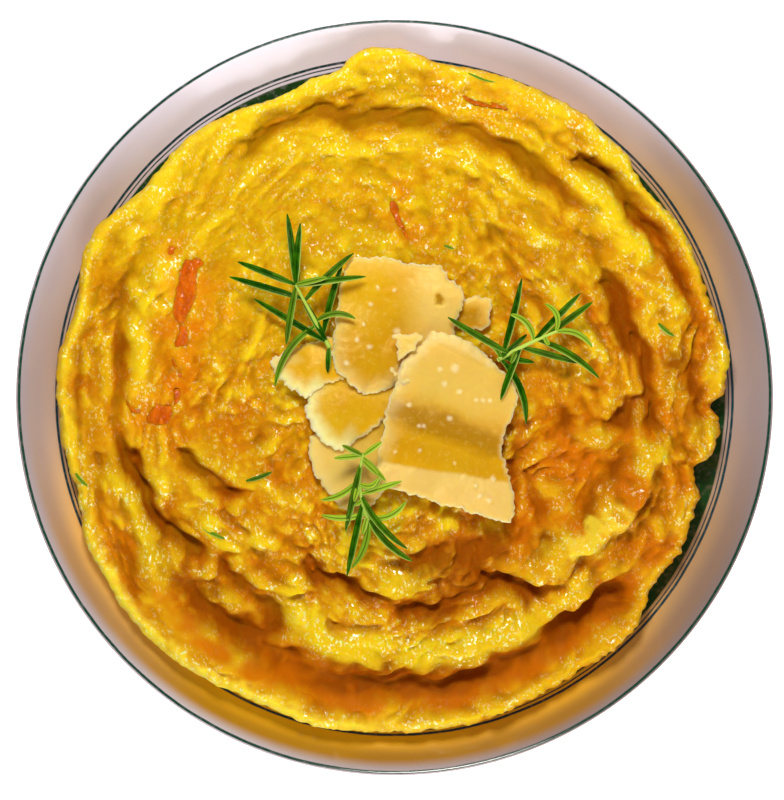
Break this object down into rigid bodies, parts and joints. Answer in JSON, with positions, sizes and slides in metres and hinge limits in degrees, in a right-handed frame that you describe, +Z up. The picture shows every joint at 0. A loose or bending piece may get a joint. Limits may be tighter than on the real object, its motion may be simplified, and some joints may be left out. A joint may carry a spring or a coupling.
{
  "type": "frittata",
  "caption": "Round golden egg frittata with folded, ruffled edges on a rimmed dinner plate, topped with shaved hard cheese and rosemary sprigs.",
  "frame": {"origin": "on the surface the plate stands on, under the middle of its foot ring", "axes": "+Z up; +Y towards the far side of the dish as it is looked down on, +X to the right"},
  "size_m": [0.27, 0.27, 0.044],
  "materials": {
    "plate": "gloss",
    "egg": "satin",
    "cheese": "satin",
    "carrot": "satin",
    "ham": "satin",
    "rosemary": "satin"
  },
  "bodies": {
    "root": {"plate": "plate", "frittata": "egg", "carrot_slice_long": "carrot", "carrot_slice_short": "carrot", "ham_slice_inner": "ham", "ham_slice_outer": "ham", "cheese_shaving_far": "cheese", "cheese_shaving_near": "cheese", "cheese_shaving_left_lower": "cheese", "cheese_shaving_left_upper": "cheese", "cheese_shaving_top": "cheese", "cheese_shaving_right": "cheese", "rosemary_sprig_left": "rosemary", "rosemary_sprig_right": "rosemary", "rosemary_sprig_near": "rosemary"}
  },
  "joints": []
}
